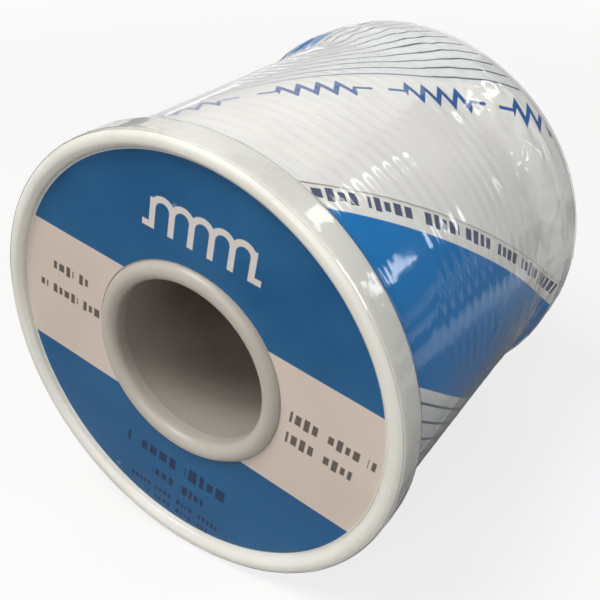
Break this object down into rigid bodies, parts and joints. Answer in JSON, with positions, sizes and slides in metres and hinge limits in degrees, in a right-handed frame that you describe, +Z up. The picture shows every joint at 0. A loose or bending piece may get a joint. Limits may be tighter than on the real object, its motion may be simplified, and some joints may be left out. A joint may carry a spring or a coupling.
{
  "type": "solder wire spool",
  "caption": "Plastic spool of flux-cored solder wire with printed face labels, a printed paper wrapper and a clear shrink film; the bore takes a bench reel stand's spindle.",
  "frame": {"origin": "middle of the bore, halfway between the two flanges", "axes": "+Y along the bore from the near face to the far face, +Z up with the spool lying on its side, +X to the right seen from the near face"},
  "size_m": [0.0572, 0.054, 0.0572],
  "materials": {
    "spool_plastic": "milky, slightly translucent natural polypropylene, satin",
    "face_label_print": "satin printed paper, blue with a white band",
    "solder_alloy": "bright drawn tin-lead alloy",
    "rosin_flux": "amber rosin",
    "adhesive_tape": "clear tape, slightly yellowed",
    "wrapper_print": "coated white paper with blue bands and fine lines",
    "clear_film": "clear glossy shrink film with creases"
  },
  "bodies": {
    "root": {"core_tube": "spool_plastic", "near_flange": "spool_plastic", "far_flange": "spool_plastic", "near_face_label": "face_label_print", "far_face_label": "face_label_print", "wire_layer_1": "solder_alloy", "wire_layer_2": "solder_alloy", "wire_layer_3": "solder_alloy", "wire_layer_4": "solder_alloy", "wire_layer_5": "solder_alloy", "wire_layer_6": "solder_alloy", "wire_layer_7": "solder_alloy", "wire_layer_8": "solder_alloy", "wire_start": "solder_alloy", "wire_end": "solder_alloy", "flux_core_start": "rosin_flux", "flux_core_end": "rosin_flux", "end_tape": "adhesive_tape", "wrapper_sheet": "wrapper_print", "shrink_film": "clear_film"}
  },
  "joints": []
}
